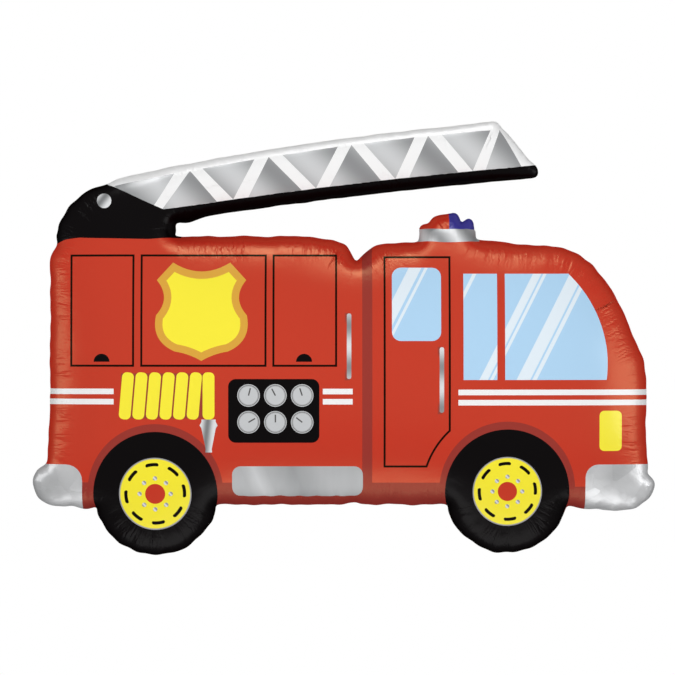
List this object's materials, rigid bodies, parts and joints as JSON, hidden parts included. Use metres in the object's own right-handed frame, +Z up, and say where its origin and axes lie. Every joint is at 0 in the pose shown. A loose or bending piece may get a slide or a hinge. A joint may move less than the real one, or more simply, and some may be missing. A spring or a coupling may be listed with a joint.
{
  "type": "fire engine foil balloon",
  "caption": "Shaped foil party balloon printed as a fire engine with a raised ladder: two films welded round one outline and filled, with a folded filling tail behind.",
  "frame": {"origin": "where the two films meet, in the middle of the filled balloon, held up by the air around it", "axes": "+X along the engine towards its cab, +Y from the front film to the back film, +Z up"},
  "size_m": [0.9067, 0.225, 0.6354],
  "materials": {
    "red_print": "satin red ink over foil",
    "dark_red_print": "satin dark red ink over foil",
    "black_print": "gloss black ink over foil",
    "white_print": "opaque white ink over foil",
    "yellow_print": "opaque yellow ink over foil",
    "gold_print": "opaque gold-yellow ink over foil",
    "blue_print": "pale blue ink over foil",
    "deep_blue_print": "deep blue ink over foil",
    "pale_grey_print": "pale grey ink over foil",
    "bare_foil": "bare metallized film, crinkled",
    "margin_print": "the prints' ink run out over the weld",
    "clear_sleeve": "clear thin film"
  },
  "bodies": {
    "root": {"gauge_dials": "pale_grey_print", "gauge_board": "black_print", "hose": "yellow_print", "hose_nozzle": "bare_foil", "shield_face": "yellow_print", "shield_rim": "gold_print", "handles": "bare_foil", "latches": "black_print", "windows": "blue_print", "headlamp": "yellow_print", "running_board": "bare_foil", "hub_centres": "red_print", "wheel_hubs": "yellow_print", "rear_tyre_front": "black_print", "rear_tyre_back": "black_print", "front_tyre_front": "black_print", "front_tyre_back": "black_print", "shade_front": "dark_red_print", "shade_back": "dark_red_print", "stripes_front": "white_print", "stripes_back": "white_print", "rear_bumper_front": "bare_foil", "rear_bumper_back": "bare_foil", "front_bumper_front": "bare_foil", "front_bumper_back": "bare_foil", "pivot_bolt": "bare_foil", "turntable_front": "black_print", "turntable_back": "black_print", "beacon_base_front": "bare_foil", "beacon_base_back": "bare_foil", "beacon_red_front": "red_print", "beacon_red_back": "red_print", "beacon_blue_front": "deep_blue_print", "beacon_blue_back": "deep_blue_print", "ladder_panes": "bare_foil", "ladder_truss_front": "white_print", "ladder_truss_back": "white_print", "ladder_rail_front": "black_print", "ladder_rail_back": "black_print", "body_front": "red_print", "body_back": "red_print", "seam_margin": "margin_print", "fill_tail": "bare_foil", "valve_sleeve": "clear_sleeve"}
  },
  "joints": []
}
